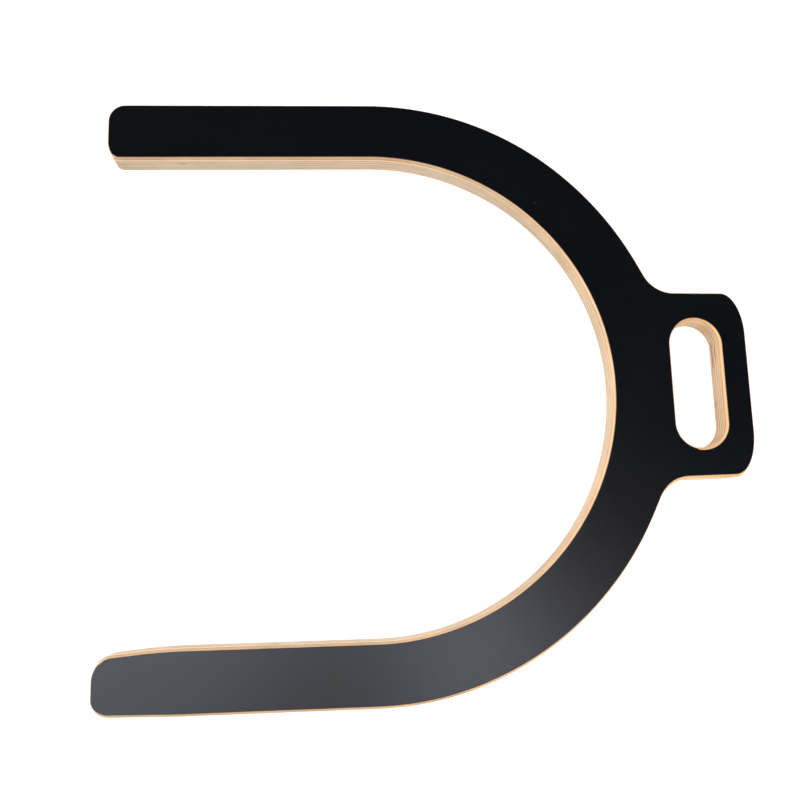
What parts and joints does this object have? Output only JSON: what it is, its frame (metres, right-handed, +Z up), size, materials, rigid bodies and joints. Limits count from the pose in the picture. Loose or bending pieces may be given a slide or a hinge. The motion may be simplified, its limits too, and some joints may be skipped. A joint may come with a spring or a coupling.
{
  "type": "balance board",
  "caption": "Flat U-shaped board of film-faced plywood with rounded rims, a wide gap between two straight arms and a handle with a hand slot.",
  "frame": {"origin": "centre of the board's footprint, on its under face", "axes": "+X along the arms towards the handle, +Y across the arms, +Z up through the plies"},
  "size_m": [0.4104, 0.3822, 0.018],
  "materials": {
    "film": "black phenolic film, satin, lightly scuffed",
    "birch_along": "birch veneer with its grain along the arms, machined and sanded edge",
    "birch_across": "birch veneer with its grain across the arms, machined and sanded edge"
  },
  "bodies": {
    "root": {"bottom_film": "film", "veneer_01": "birch_across", "veneer_02": "birch_along", "veneer_03": "birch_across", "veneer_04": "birch_along", "veneer_05": "birch_across", "veneer_06": "birch_along", "veneer_07": "birch_across", "veneer_08": "birch_along", "veneer_09": "birch_across", "veneer_10": "birch_along", "veneer_11": "birch_across", "veneer_12": "birch_along", "veneer_13": "birch_across", "top_film": "film"}
  },
  "joints": []
}
